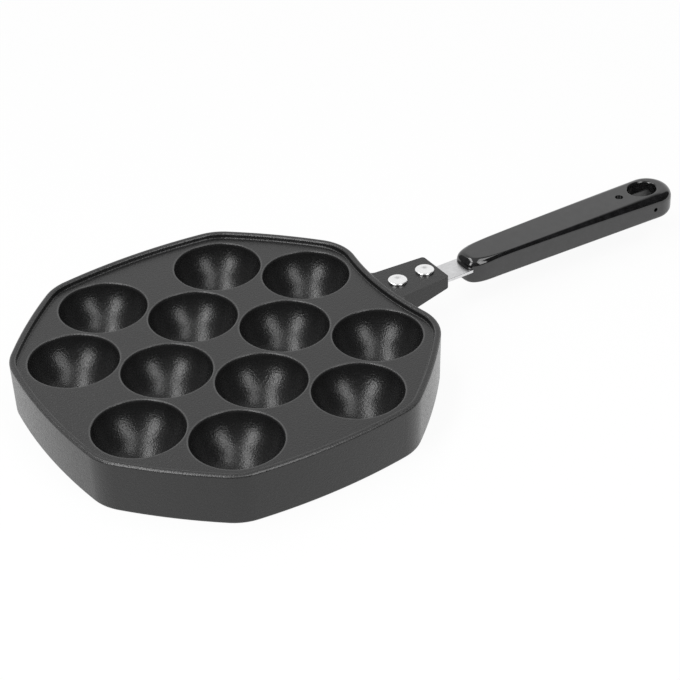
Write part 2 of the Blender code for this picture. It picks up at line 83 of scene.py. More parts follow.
def size(name, description, default, high=0.5):
    """A length in metres that a user can change."""
    return FloatProperty(
        name=name, description=description, default=default, min=0.0, max=high,
        unit="LENGTH", subtype="DISTANCE", precision=5,
    )


def tint(name, description, default):
    """A linear colour that a user can change."""
    return FloatVectorProperty(
        name=name, description=description, default=default, min=0.0, max=1.0, size=3, subtype="COLOR",
    )


def factor(name, description, default, high=1.0):
    return FloatProperty(name=name, description=description, default=default, min=0.0, max=high)


def turn(name, description, degrees):
    return FloatProperty(
        name=name, description=description, default=radians(degrees), subtype="ANGLE", unit="ROTATION",
    )


def aim(name, description, azimuth, elevation):
    angles = (radians(azimuth), radians(elevation))
    return FloatVectorProperty(
        name=name, description=description, default=angles, size=2, unit="ROTATION",
    )


def area(name, description, width, length):
    return FloatVectorProperty(
        name=name, description=description, default=(width, length), min=0.01, size=2, unit="LENGTH",
    )


def spot(name, description, default):
    return FloatVectorProperty(
        name=name, description=description, default=default, subtype="XYZ", unit="LENGTH", size=3,
    )


class CastingSizes(bpy.types.PropertyGroup):
    """Sizes of the casting that its box alone doesn't give."""

    well_pitch: size("Well pitch", "Distance between neighbouring wells", 0.0470)
    well_land: size("Well land", "Plate left between two wells", 0.0010)
    well_depth: size("Well depth", "Depth of a well below the plate", 0.0205)
    well_wall: size("Well wall", "Wall under a well", 0.0022)
    lip_radius: size("Lip radius", "Rounding of a well's lip", 0.0007)
    wells_per_row: IntProperty(
        name="Wells per row", description="Wells in a full row of the grid", default=4, min=2, max=8,
    )
    grid_turn: turn("Grid turn", "Turn of the rows of wells to the handle", -45)
    flat_land: size("Flat side land", "Plate from the outer rows of wells to their side", 0.00925)
    diagonal_land: size("Diagonal side land", "Plate from the corner wells to their side", 0.0095)
    lug_land: size("Lug side land", "Plate from the wells to the lug's side", 0.0029)
    side_bow: size("Side bow radius", "Radius that the sides bow out on", 0.285)
    lug_hollow: size("Lug side hollow radius", "Radius that the lug's side is drawn in on", 0.162)
    corner_radius: size("Corner radius", "Rounding of the octagon's corners", 0.0260)
    plate_thickness: size("Plate thickness", "Thickness between the wells", 0.0030)
    rim_width: size("Rim width", "Width of the rim", 0.0033)
    rim_edge: size("Rim edge radius", "Rounding of the rim's outer edge", 0.0013)
    rim_inner_edge: size("Rim inner edge radius", "Rounding of the rim's inner edge", 0.0010)
    rim_fillet: size("Rim foot fillet", "Fillet between the rim's inner wall and the plate", 0.0007)
    rim_draft: size("Rim draft", "Draft of the rim's inner wall", 0.0002)
    skirt_wall: size("Skirt wall", "Thickness of the skirt", 0.0032)
    skirt_draft: size("Skirt draft", "Draft of the skirt", 0.0006)
    skirt_fillet: size("Skirt fillet", "Fillet between the skirt and the plate's underside", 0.0018)
    foot_radius: size("Foot radius", "Rounding of the foot's edges", 0.0010)
    bump_fillet: size("Bump fillet", "Fillet between a well's underside and the plate", 0.0016)
    lug_tip_width: size("Lug tip width", "Width of the lug's end", 0.0232)
    lug_root_width: size("Lug root width", "Width of the lug at the wall", 0.0274)
    lug_drop: size("Lug drop", "Step from the rim down to the lug", 0.0019)
    lug_tip_thickness: size("Lug tip thickness", "Thickness of the lug's end", 0.0065)
    lug_root_thickness: size("Lug root thickness", "Thickness of the lug at the wall", 0.0125)
    lug_fillet: size("Lug fillet", "Flare where the lug meets the wall", 0.0040)
    lug_corner: size("Lug corner radius", "Rounding of the lug's upright corners", 0.0016)
    lug_edge: size("Lug edge radius", "Rounding of the lug's top and bottom edges", 0.0007)


class RivetSizes(bpy.types.PropertyGroup):
    """Sizes of one rivet's head and shank."""

    shank_diameter: size("Shank diameter", "Diameter of the shank", 0.0050)
    head_rim: size("Head rim", "Height of the head's upright rim", 0.00018)
    head_edge: size("Head edge radius", "Rounding of the head's foot", 0.00008)
    head_fullness: factor("Head fullness", "Exponent of the head's rounding, 2 for an ellipse", 4.0, 8.0)
    dish_diameter: size("Dish diameter", "Diameter of the shallow dish in the head", 0.0062)
    dish_depth: size("Dish depth", "Depth of the dish", 0.00036)
    tail_diameter: size("Tail diameter", "Diameter of the formed tail", 0.0086)


class GripSizes(bpy.types.PropertyGroup):
    """Sizes of the grip that its box alone doesn't give."""

    near_width: size("Near width", "Width that the sides start from at the nose", 0.0184)
    far_width: size("Far width", "Width that the sides reach at the far end", 0.0259)
    near_thickness: size("Near thickness", "Thickness at the nose", 0.0135)
    nose_length: size("Nose length", "Length of the oval nose beside the bar", 0.0186)
    nose_fullness: factor("Nose fullness", "Exponent of the nose's oval, 2 for an ellipse", 3.2, 6.0)
    nose_edge: size("Nose edge radius", "Rounding of the top edge at the tip of the nose", 0.0048)
    near_edge: size("Near edge radius", "Rounding of the edges behind the nose", 0.0018)
    far_edge: size("Far edge radius", "Rounding of the bottom edge at the far end", 0.0038)
    far_top_edge: size("Far top edge radius", "Rounding of the top edge at the far end", 0.0056)
    hole_length: size("Hang hole length", "Length of the hang hole", 0.0166)
    hole_width: size("Hang hole width", "Width of the hang hole", 0.0140)
    hole_end_wall: size("Hang hole end wall", "Wall from the hang hole to the far end", 0.0090)
    hole_edge: size("Hang hole edge radius", "Rounding of the hang hole's edges", 0.0010)
    pit_diameter: size("Pit diameter", "Diameter of the moulding pit on top", 0.0044)
    pit_depth: size("Pit depth", "Depth of the pit", 0.0012)
    pit_spacing: size("Pit spacing", "Distance from the hang hole to the pit", 0.0157)
    pin_diameter: size("Pin hole diameter", "Diameter of the pin hole in the side", 0.0024)
    pin_depth: size("Pin hole depth", "Depth of the pin hole", 0.0030)


class Finishes(bpy.types.PropertyGroup):
    """Colours and surface values of the pan's finishes."""

    coating_colour: tint("Coating colour", "Non-stick coating on the casting", (0.009, 0.009, 0.0092))
    coating_roughness: factor("Coating roughness", "Mean roughness of the coating", 0.27)
    coating_grain: size("Coating grain", "Size of the coating's pebble grain", 0.0012)
    # Painted highlight: a pale colour, and how strongly it lightens the lips of the wells and the rim's
    # shoulders, standing in for light that these edges catch.
    painted_highlight_colour: tint("Painted highlight colour", "Coating colour that paints a highlight on the lips and the rim's shoulders", (0.15, 0.15, 0.15))
    lip_painted_highlight: factor("Lip painted highlight", "How strongly a highlight is painted on the lips of the wells", 0.3)
    rim_painted_highlight: factor("Rim painted highlight", "How strongly a highlight is painted on the shoulders of the rim", 0.4)
    grip_colour: tint("Grip colour", "Black moulding", (0.003, 0.003, 0.0032))
    grip_roughness: factor("Grip roughness", "Mean roughness of the grip", 0.085)
    steel_colour: tint("Steel colour", "Bright steel of the bar", (0.83, 0.83, 0.84))
    steel_roughness: factor("Steel roughness", "Mean roughness of the bar", 0.30)
    rivet_colour: tint("Rivet colour", "Bright metal of the rivets", (0.98, 0.98, 0.98))
    rivet_roughness: factor("Rivet roughness", "Mean roughness of the rivets", 0.22)


class StudioSettings(bpy.types.PropertyGroup):
    """Camera and lights. Azimuths run anticlockwise from +X, seen from above."""

    camera_place: spot("Camera place", "Where the camera stands", (-0.3868, -0.73025, 0.5710))
    camera_target: spot("Camera target", "Point that the camera looks at", (0.04875, -0.02661, 0.0))
    camera_roll: turn("Camera roll", "Clockwise lean of the camera", 1.925)
    camera_lens: factor("Camera lens", "Focal length in millimetres on a 36 mm sensor", 108.85, 500.0)
    low_distance: size("Low light distance", "Distance from the pan to the low softboxes", 1.0, 5.0)
    high_distance: size("High light distance", "Distance from the pan to the overhead softboxes", 1.9, 5.0)
    light_run: turn("Light run", "Plan direction in which the overhead softboxes run", 58)
    side_aim: aim("Side light aim", "Azimuth and elevation of the softbox at the side", -162.0, 36.0)
    side_size: area("Side light size", "Width and length of the softbox at the side", 0.35, 0.71)
    side_strength: factor("Side light strength", "Brightness of the softbox at the side", 5.6, 50.0)
    front_aim: aim("Front light aim", "Azimuth and elevation of the softbox at the front", -77.9, 35.0)
    front_size: area("Front light size", "Width and length of the softbox at the front", 0.35, 0.71)
    front_strength: factor("Front light strength", "Brightness of the softbox at the front", 3.8, 50.0)
    left_aim: aim("Left light aim", "Azimuth and elevation of the left overhead softbox", 131.0, 70.0)
    left_size: area("Left light size", "Width and length of the left overhead softbox", 0.475, 2.06)
    left_strength: factor("Left light strength", "Brightness of the left overhead softbox", 4.8, 50.0)
    right_aim: aim("Right light aim", "Azimuth and elevation of the right overhead softbox", -47.8, 68.7)
    right_size: area("Right light size", "Width and length of the right overhead softbox", 0.475, 1.74)
    right_strength: factor("Right light strength", "Brightness of the right overhead softbox", 2.9, 50.0)
    backdrop_top: turn("Backdrop top", "Elevation at which the white backdrop ends", 50)
    backdrop_spread: turn("Backdrop spread", "Angle that the backdrop reaches to either side", 50)
    backdrop_level: factor("Backdrop level", "Brightness of the backdrop in gloss", 0.90)
    ceiling_foot: turn("Ceiling foot", "Elevation at which the pale ceiling starts", 49)
    ceiling_level: factor("Ceiling level", "Brightness of the ceiling", 0.45)
    room_level: factor("Room level", "Brightness of the room at the sides and in front", 0.14)
    dark_level: factor("Dark level", "Brightness of the room on the right", 0.04)
    floor_colour: tint("Floor colour", "Pale floor", (0.86, 0.86, 0.86))


def add_object(name, data, material=None):
    item = bpy.data.objects.new(name, data)
    bpy.context.scene.collection.objects.link(item)
    if material is not None:
        item.data.materials.append(material)
    return item


def add_tool(name, data):
    """A shape that only cuts a piece, is joined to it or is repeated by its nodes."""
    item = add_object(name, data)
    item.hide_render = True
    item.display_type = "WIRE"
    return item


def drop(items):
    for item in items:
        bpy.data.objects.remove(item, do_unlink=True)


def bake_modifiers(item):
    """Give the object the mesh that its modifiers make, and take the modifiers off."""
    bpy.context.view_layer.update()
    evaluated = item.evaluated_get(bpy.context.evaluated_depsgraph_get())
    mesh = bpy.data.meshes.new_from_object(evaluated)
    item.modifiers.clear()
    item.data = mesh


def weld(mesh):
    """Merge points that a Boolean left a hair apart, which takes its empty slivers away."""
    shape = bmesh.new()
    shape.from_mesh(mesh)
    bmesh.ops.remove_doubles(shape, verts=shape.verts, dist=WELD_DISTANCE)
    shape.to_mesh(mesh)
    shape.free()


def finish_surface(item):
    """Smooth faces with crisp creases, whose normals follow the large flat faces."""
    item.data.shade_smooth()
    item.data.set_sharp_from_angle(angle=SHARP_ANGLE)
    weighting = item.modifiers.new("Flat faces lead", "WEIGHTED_NORMAL")
    weighting.mode = "FACE_AREA"
    weighting.weight = 100
    weighting.keep_sharp = True
    bake_modifiers(item)


def set_piece(item, slot, *nodes):
    """Fix a finished piece to the pan's body in place of its CAD nodes."""
    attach(item, BODY)
    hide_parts(*nodes)


def arc(centre_x, centre_y, radius, start, end, steps):
    """Points of an arc, both ends included."""
    angles = [start + (end - start) * i / steps for i in range(steps + 1)]
    return [(centre_x + radius * cos(angle), centre_y + radius * sin(angle)) for angle in angles]


def loft(name, rings):
    """Closed mesh through rings of equal count that run anticlockwise seen from the last ring."""
    mesh = bpy.data.meshes.new(name)
    shape = bmesh.new()
    loops = [[shape.verts.new(point) for point in ring] for ring in rings]
    total = len(loops[0])
    for lower, upper in zip(loops, loops[1:]):
        for i in range(total):
            j = (i + 1) % total
            shape.faces.new((lower[i], lower[j], upper[j], upper[i]))
    shape.faces.new(reversed(loops[0]))
    shape.faces.new(loops[-1])
    shape.to_mesh(mesh)
    shape.free()
    return mesh


def loft_tool(name, rings):
    return add_tool(name, loft(name, rings))


def turned(name, profile, steps):
    """Solid of revolution: the profile lists (radius, z) from the top down its outer side."""
    mesh = bpy.data.meshes.new(name)
    edges = [(i, i + 1) for i in range(len(profile) - 1)]
    mesh.from_pydata([(radius, 0.0, z) for radius, z in profile], edges, [])
    item = add_tool(name, mesh)
    screw = item.modifiers.new("Turn", "SCREW")
    screw.steps = steps
    screw.render_steps = steps
    screw.use_merge_vertices = True
    screw.merge_threshold = WELD_DISTANCE
    bake_modifiers(item)
    return item


def cylinder(name, radius, depth, steps):
    mesh = bpy.data.meshes.new(name)
    shape = bmesh.new()
    bmesh.ops.create_cone(
        shape, cap_ends=True, segments=steps, radius1=radius, radius2=radius, depth=depth
    )
    shape.to_mesh(mesh)
    shape.free()
    return add_tool(name, mesh)


def bar_cutter(name, x_low, x_high, z_low, z_high, steps):
    """Upright cutter that clears the bar's sides by its play and has round corners."""
    half, radius = BAR_HIGH.y + FIT_GAP, SLOT_CORNER
    outline = arc(x_high - radius, half - radius, radius, 0.0, pi / 2, steps)
    outline += arc(x_low + radius, half - radius, radius, pi / 2, pi, steps)
    outline += arc(x_low + radius, radius - half, radius, pi, 3 * pi / 2, steps)
    outline += arc(x_high - radius, radius - half, radius, 3 * pi / 2, 2 * pi, steps)
    return loft_tool(name, [[(x, y, z) for x, y in outline] for z in (z_low, z_high)])


def cut_out(target, tool):
    modifier = target.modifiers.new(tool.name, "BOOLEAN")
    modifier.operation = "DIFFERENCE"
    modifier.solver = "EXACT"
    modifier.object = tool


def feed(tree, sockets, values):
    """Give sockets their values, each a plain value or the socket that it comes from."""
    for key, value in values.items():
        if isinstance(value, bpy.types.NodeSocket):
            tree.links.new(value, sockets[key])
        else:
            sockets[key].default_value = value


def node(tree, kind, inputs=None, **settings):
    """Add one node with its settings and inputs."""
    made = tree.nodes.new(kind)
    made.location = (NODE_SPACING * (len(tree.nodes) - 1), 0)
    for name, value in settings.items():
        setattr(made, name, value)
    feed(tree, made.inputs, inputs or {})
    return made


def new_group(name, kind, inputs, outputs):
    """Node group with named sockets. Returns the tree, the values it takes and the sockets it fills."""
    tree = bpy.data.node_groups.new(name, kind)
    for label, socket, *default in inputs:
        made = tree.interface.new_socket(label, in_out="INPUT", socket_type="NodeSocket" + socket)
        if default:
            made.default_value = default[0]
    for label, socket in outputs:
        tree.interface.new_socket(label, in_out="OUTPUT", socket_type="NodeSocket" + socket)
    return tree, node(tree, "NodeGroupInput").outputs, node(tree, "NodeGroupOutput").inputs


def set_inputs(modifier, values):
    """Set a node modifier's inputs by their labels, through each socket's identifier."""
    for item in modifier.node_group.interface.items_tree:
        if item.item_type == "SOCKET" and item.in_out == "INPUT" and item.name in values:
            modifier[item.identifier] = values[item.name]


def maths(tree, operation, first, *others):
    """One value, or two or more values taken in turn, through the same operation."""
    result = first
    for other in others or (0.0,):
        result = node(tree, "ShaderNodeMath", {0: result, 1: other}, operation=operation).outputs[0]
    return result


def vector_maths(tree, operation, first, second=(0.0, 0.0, 0.0)):
    made = node(tree, "ShaderNodeVectorMath", {0: first, 1: second}, operation=operation)
    return made.outputs["Value" if operation in ("LENGTH", "DOT_PRODUCT") else "Vector"]


def ramp(tree, value, start, stop):
    """Nothing up to the start, one from the stop on and a straight line between them."""
    inputs = {"Value": value, "From Min": start, "From Max": stop}
    return node(tree, "ShaderNodeMapRange", inputs).outputs[0]


def axes(tree, vector):
    return node(tree, "ShaderNodeSeparateXYZ", {0: vector}).outputs


class CastingPlan:
    """Radii and places that follow from the casting's sizes and the frame."""

    side_steps = 20
    corner_steps = 12
    edge_steps = 5
    lip_steps = 8
    bowl_steps = 26
    fillet_steps = 6
    bump_steps = 16
    lug_steps = 8

    def __init__(self, sizes):
        self.sizes = sizes
        last = sizes.wells_per_row - 1
        self.opening = (sizes.well_pitch - sizes.well_land) / 2
        mouth = self.opening - sizes.lip_radius
        self.bowl = (mouth ** 2 + sizes.well_depth ** 2) / (2 * sizes.well_depth)
        self.bowl_z = self.bowl - sizes.well_depth
        self.bump = self.bowl + sizes.well_wall
        flat = last / 2 * sizes.well_pitch + self.opening + sizes.flat_land
        diagonal = (last - 1) * sizes.well_pitch / sqrt(2) + self.opening
        self.lug_x = diagonal + sizes.lug_land
        self.foot_z = PAN_LOW.z
        self.rim_z = PAN_HIGH.z
        self.lug_z = PAN_HIGH.z - sizes.lug_drop
        self.sides = []
        for k in range(8):
            angle = k * pi / 4
            apothem, radius = flat, sizes.side_bow
            if k % 2 == 0:
                apothem = diagonal + sizes.diagonal_land
            if k == 0:
                apothem, radius = self.lug_x, -sizes.lug_hollow
            outward = Vector((cos(angle), sin(angle)))
            self.sides.append((angle, outward * (apothem - radius), radius))
        self.corners = [self.corner(self.sides[k], self.sides[(k + 1) % 8]) for k in range(8)]

    def corner(self, side, following):
        """Centre of the round corner that is tangent to two neighbouring side arcs."""
        angle, start, start_radius = side
        _, end, end_radius = following
        reach = abs(start_radius - self.sizes.corner_radius)
        next_reach = abs(end_radius - self.sizes.corner_radius)
        gap = end - start
        along = (reach ** 2 - next_reach ** 2 + gap.length_squared) / (2 * gap.length)
        across = sqrt(reach ** 2 - along ** 2)
        foot = start + gap.normalized() * along
        sideways = Vector((-gap.y, gap.x)).normalized() * across
        outward = Vector((cos(angle + pi / 8), sin(angle + pi / 8)))
        return max((foot + sideways, foot - sideways), key=lambda point: point.dot(outward))

    def normal_angle(self, corner, side, near):
        """Direction of the outline's normal where a side's arc meets a corner."""
        _, centre, radius = side
        normal = (corner - centre) / (radius - self.sizes.corner_radius)
        angle = atan2(normal.y, normal.x)
        return near + (angle - near + pi) % (2 * pi) - pi

    def outline(self, inset, z):
        """Ring of the octagon drawn in by inset, every stretch an arc about a fixed centre."""
        points = []
        for k, side in enumerate(self.sides):
            angle, centre, radius = side
            following = self.sides[(k + 1) % 8]
            begin = self.normal_angle(self.corners[k - 1], side, angle)
            end = self.normal_angle(self.corners[k], side, angle)
            last = self.normal_angle(self.corners[k], following, angle + pi / 4)
            bend, bend_radius = self.corners[k], self.sizes.corner_radius - inset
            points += arc(centre.x, centre.y, radius - inset, begin, end, self.side_steps)[:-1]
            points += arc(bend.x, bend.y, bend_radius, end, last, self.corner_steps)[:-1]
        return [(x, y, z) for x, y in points]

    def outside_section(self):
        """(inset, z) of the casting's outside, from the foot up the wall and down to the plate."""
        s = self.sizes
        foot, edge, inner, fillet = s.foot_radius, s.rim_edge, s.rim_inner_edge, s.rim_fillet
        wall_foot = s.rim_width + s.rim_draft
        steps = self.edge_steps
        section = arc(s.skirt_draft + foot, self.foot_z + foot, foot, 3 * pi / 2, pi, steps)
        section += arc(edge, self.rim_z - edge, edge, pi, pi / 2, steps)
        section += arc(s.rim_width - inner, self.rim_z - inner, inner, pi / 2, 0.0, steps)
        section += arc(wall_foot + fillet, fillet, fillet, pi, 3 * pi / 2, steps)
        return section

    def pocket_section(self):
        """(inset, z) of the hollow under the casting, from below the foot up to the plate."""
        s = self.sizes
        inside = s.skirt_draft + s.skirt_wall
        top = inside + s.skirt_draft
        lip, fillet = s.foot_radius / 2, s.skirt_fillet
        section = [(inside - lip, self.foot_z - OVERCUT)]
        section += arc(inside - lip, self.foot_z + lip, lip, 3 * pi / 2, 2 * pi, self.edge_steps)
        section += arc(top + fillet, -s.plate_thickness - fillet, fillet, pi, pi / 2, self.edge_steps)
        return section

    def cap(self, radius, start, steps):
        """Rest of a sphere's profile, from an angle off its lowest point down to that point."""
        angles = [start * (1 - i / steps) for i in range(1, steps + 1)]
        return [(radius * sin(angle), self.bowl_z - radius * cos(angle)) for angle in angles]

    def well_profile(self):
        """Cutter for one well: a round lip, then a spherical bowl."""
        lip = self.sizes.lip_radius
        lip_x = sqrt(self.bowl ** 2 - (self.bowl_z + lip) ** 2) + lip
        start = acos((self.bowl_z + lip) / self.bowl)
        profile = [(0.0, self.rim_z + OVERCUT), (lip_x, self.rim_z + OVERCUT)]
        profile += arc(lip_x, -lip + WELD_DISTANCE, lip, pi / 2, pi, self.lip_steps)
        return profile + self.cap(self.bowl, start, self.bowl_steps)

    def bump_profile(self):
        """The underside of one well: a fillet out of the plate, then a spherical cap."""
        fillet, thickness = self.sizes.bump_fillet, self.sizes.plate_thickness
        centre_z = -thickness + OVERLAP - fillet
        centre_x = sqrt((self.bump + fillet) ** 2 - (self.bowl_z - centre_z) ** 2)
        towards = atan2(self.bowl_z - centre_z, -centre_x)
        start = atan2(centre_x, self.bowl_z - centre_z)
        profile = [(0.0, -thickness / 2), (centre_x, -thickness / 2)]
        profile += arc(centre_x, centre_z, fillet, pi / 2, towards, self.fillet_steps)
        return profile + self.cap(self.bump, start, self.bump_steps)

    def lug_rings(self):
        """Sections of the lug from inside the skirt wall to its rounded tip."""
        s = self.sizes
        reach = PAN_HIGH.x - self.lug_x
        turns = [pi / 2 * i / self.lug_steps for i in range(self.lug_steps + 1)]
        stations = [self.lug_x - s.skirt_wall / 2]
        stations += [self.lug_x + s.lug_fillet * (1 - cos(angle)) for angle in turns]
        stations += [PAN_HIGH.x - s.lug_corner * (1 - sin(angle)) for angle in turns]
        rings = []
        for x in stations:
            along = (x - self.lug_x) / reach
            half = (s.lug_root_width + (s.lug_tip_width - s.lug_root_width) * along) / 2
            thick = s.lug_root_thickness + (s.lug_tip_thickness - s.lug_root_thickness) * along
            flare = min(s.lug_fillet, max(0.0, self.lug_x + s.lug_fillet - x))
            half += s.lug_fillet - sqrt(s.lug_fillet ** 2 - flare ** 2)
            past = max(0.0, x - (PAN_HIGH.x - s.lug_corner))
            half -= s.lug_corner - sqrt(max(0.0, s.lug_corner ** 2 - past ** 2))
            low = self.lug_z - thick
            rings.append([(x, -half, low), (x, half, low), (x, half, self.lug_z), (x, -half, self.lug_z)])
        return rings


def object_shape(tree, source):
    return node(tree, "GeometryNodeObjectInfo", {"Object": source}).outputs["Geometry"]


def copies(tree, points, source):
    """An instance of an object on each of the points."""
    inputs = {"Points": points, "Instance": object_shape(tree, source)}
    return node(tree, "GeometryNodeInstanceOnPoints", inputs).outputs[0]


def real(tree, shape):
    return node(tree, "GeometryNodeRealizeInstances", {"Geometry": shape}).outputs[0]


def end_tree(tree, shape, material, out):
    """Make the result one real mesh, give it its material and hand it out."""
    inputs = {"Geometry": real(tree, shape), "Material": material}
    tree.links.new(node(tree, "GeometryNodeSetMaterial", inputs).outputs[0], out)


def casting_nodes():
    """Node tree that hollows the blank, adds the well undersides and the lug, and cuts the wells."""
    tree, value, out = new_group(
        "cast_wells", "GeometryNodeTree",
        (
            ("Blank", "Geometry"), ("Well Pitch", "Float", 0.047), ("Wells per Row", "Int", 4),
            ("Grid Turn", "Float", 0.0), ("Pocket", "Object"), ("Lug", "Object"), ("Bar Channel", "Object"),
            ("Well", "Object"), ("Well Underside", "Object"), ("Material", "Material"),
        ),
        (("Casting", "Geometry"),),
    )
    wells, pitch = value["Wells per Row"], value["Well Pitch"]
    span = maths(tree, "MULTIPLY", maths(tree, "SUBTRACT", wells, 1.0), pitch)
    grid = node(tree, "GeometryNodeMeshGrid", {
        "Size X": span, "Size Y": span, "Vertices X": wells, "Vertices Y": wells,
    })
    away = vector_maths(tree, "LENGTH", node(tree, "GeometryNodeInputPosition").outputs[0])
    corners = maths(tree, "GREATER_THAN", away, maths(tree, "MULTIPLY", wells, 0.5, pitch))
    octagon = node(tree, "GeometryNodeDeleteGeometry", {
        "Geometry": grid.outputs["Mesh"], "Selection": corners,
    })
    spin = node(tree, "ShaderNodeCombineXYZ", {"Z": value["Grid Turn"]})
    places = node(tree, "GeometryNodeTransform", {
        "Geometry": octagon.outputs[0], "Rotation": spin.outputs[0],
    }).outputs[0]

    def combined(operation, first, *others):
        """Join overlapping shapes, or cut shapes that don't overlap each other out of the first."""
        made = node(tree, "GeometryNodeMeshBoolean", operation=operation, solver="EXACT")
        if operation == "DIFFERENCE":
            tree.links.new(first, made.inputs["Mesh 1"])
            sources = others
        else:
            sources = (first, *others)
        for source in sources:
            tree.links.new(source, made.inputs["Mesh 2"])
        made.inputs["Self Intersection"].default_value = operation == "UNION"
        return node(tree, "GeometryNodeMergeByDistance", {
            "Geometry": made.outputs["Mesh"], "Distance": WELD_DISTANCE,
        }).outputs[0]

    hollow = combined("DIFFERENCE", value["Blank"], object_shape(tree, value["Pocket"]))
    undersides = real(tree, copies(tree, places, value["Well Underside"]))
    cast = combined("UNION", hollow, undersides, object_shape(tree, value["Lug"]))
    bowls = real(tree, copies(tree, places, value["Well"]))
    cut = combined("DIFFERENCE", cast, bowls, object_shape(tree, value["Bar Channel"]))
    end_tree(tree, cut, value["Material"], out[0])
    return tree


def rivet_nodes():
    """Node tree that sets a rivet at each of a row of places."""
    tree, value, out = new_group(
        "rivet_row", "GeometryNodeTree",
        (
            ("Start", "Geometry"), ("Rivet", "Object"), ("Rivets", "Int", 2), ("First Place", "Vector"),
            ("Spacing", "Float", 0.017), ("Material", "Material"),
        ),
        (("Rivets", "Geometry"),),
    )
    step = node(tree, "ShaderNodeCombineXYZ", {"X": value["Spacing"]})
    row = node(tree, "GeometryNodeMeshLine", {
        "Count": value["Rivets"], "Start Location": value["First Place"], "Offset": step.outputs[0],
    })
    end_tree(tree, copies(tree, row.outputs[0], value["Rivet"]), value["Material"], out[0])
    return tree


def shared(name, build):
    """The shader group of this name, built when it is first asked for."""
    return bpy.data.node_groups.get(name) or build(name)


def grain_group(name):
    """Fine surface grain: its height, and a mask of its peaks."""
    tree, value, out = new_group(
        name, "ShaderNodeTree",
        (
            ("Vector", "Vector"), ("Grain Size", "Float", 0.001), ("Stretch", "Vector", (1.0, 1.0, 1.0)),
            ("Detail", "Float", 2.0),
        ),
        (("Height", "Float"), ("Peaks", "Float")),
    )
    noise = node(tree, "ShaderNodeTexNoise", {
        "Vector": vector_maths(tree, "MULTIPLY", value["Vector"], value["Stretch"]),
        "Scale": maths(tree, "DIVIDE", 1.0, value["Grain Size"]),
        "Detail": value["Detail"], "Roughness": 0.55,
    }).outputs[0]
    peak_foot, peak_top = 0.55, 0.75
    feed(tree, out, {"Height": noise, "Peaks": ramp(tree, noise, peak_foot, peak_top)})
    return tree


def drift_group(name):
    """Slow drift of a value over the surface, around its middle."""
    tree, value, out = new_group(
        name, "ShaderNodeTree",
        (
            ("Vector", "Vector"), ("Patch Size", "Float", 0.02), ("Middle", "Float", 0.5),
            ("Spread", "Float", 0.1),
        ),
        (("Value", "Float"),),
    )
    noise = node(tree, "ShaderNodeTexNoise", {
        "Vector": value["Vector"], "Scale": maths(tree, "DIVIDE", 1.0, value["Patch Size"]), "Detail": 3.0,
    })
    around = maths(tree, "SUBTRACT", noise.outputs[0], 0.5)
    swing = maths(tree, "MULTIPLY", around, value["Spread"])
    tree.links.new(maths(tree, "ADD", value["Middle"], swing), out["Value"])
    return tree


def emptied(owner):
    """Node tree of a new material or world, without the nodes that it came with."""
    owner.use_nodes = True
    owner.node_tree.nodes.clear()
    return owner.node_tree


def new_material(name):
    """New material, its tree, its shader's inputs and its object coordinates."""
    material = bpy.data.materials.new(name)
    tree = emptied(material)
    place = node(tree, "ShaderNodeTexCoord").outputs["Object"]
    shader = node(tree, "ShaderNodeBsdfPrincipled")
    out = node(tree, "ShaderNodeOutputMaterial")
    tree.links.new(shader.outputs[0], out.inputs["Surface"])
    return material, tree, shader.inputs, place


def grain(tree, place, grain_size, detail, stretch=(1.0, 1.0, 1.0)):
    return node(tree, "ShaderNodeGroup", {
        "Vector": place, "Grain Size": grain_size, "Stretch": stretch, "Detail": detail,
    }, node_tree=shared("surface_grain", grain_group)).outputs


def drift(tree, place, patch_size, middle, spread):
    return node(tree, "ShaderNodeGroup", {
        "Vector": place, "Patch Size": patch_size, "Middle": middle, "Spread": spread,
    }, node_tree=shared("slow_drift", drift_group)).outputs["Value"]


def bump(tree, height, distance, normal=None):
    inputs = {"Height": height, "Distance": distance, "Strength": 1.0}
    if normal is not None:
        inputs["Normal"] = normal
    return node(tree, "ShaderNodeBump", inputs).outputs["Normal"]


def mixed(tree, share, first, second):
    """Colour between two colours, each a socket or its red, green and blue."""
    inputs = {"Factor": share}
    for key, colour in ((MIX_FIRST, first), (MIX_SECOND, second)):
        inputs[key] = colour if isinstance(colour, bpy.types.NodeSocket) else (*colour, 1.0)
    return node(tree, "ShaderNodeMix", inputs, data_type="RGBA").outputs[MIX_RESULT]


def toned(colour, share):
    return [share * c for c in colour]


def lip_mask(tree, place, plan):
    """Mask for the painted highlight: one on the rounded lips of the wells, fading to nothing on either
    side of them.
    """
    s, pitch = plan.sizes, plan.sizes.well_pitch
    grid = node(tree, "ShaderNodeVectorRotate", {"Vector": place, "Angle": -s.grid_turn})
    cells = vector_maths(tree, "MULTIPLY", grid.outputs[0], (1 / pitch, 1 / pitch, 0.0))
    centred = vector_maths(tree, "SUBTRACT", vector_maths(tree, "FRACTION", cells), (0.5, 0.5, 0.0))
    away = vector_maths(tree, "LENGTH", centred)
    lip = (plan.opening - s.lip_radius / 3) / pitch
    ring = maths(tree, "ABSOLUTE", maths(tree, "SUBTRACT", away, lip))
    near = ramp(tree, ring, s.lip_radius / pitch, 0.0)
    height = axes(tree, place)["Z"]
    shallow = maths(tree, "GREATER_THAN", height, -2 * s.lip_radius)
    not_rim = maths(tree, "LESS_THAN", height, s.lip_radius / 10)
    sides = axes(tree, vector_maths(tree, "ABSOLUTE", cells))
    half = s.wells_per_row / 2
    not_corner = maths(tree, "LESS_THAN", maths(tree, "MINIMUM", sides["X"], sides["Y"]), half - 1)
    inside = maths(tree, "LESS_THAN", maths(tree, "MAXIMUM", sides["X"], sides["Y"]), half)
    return maths(tree, "MULTIPLY", near, shallow, not_rim, not_corner, inside)


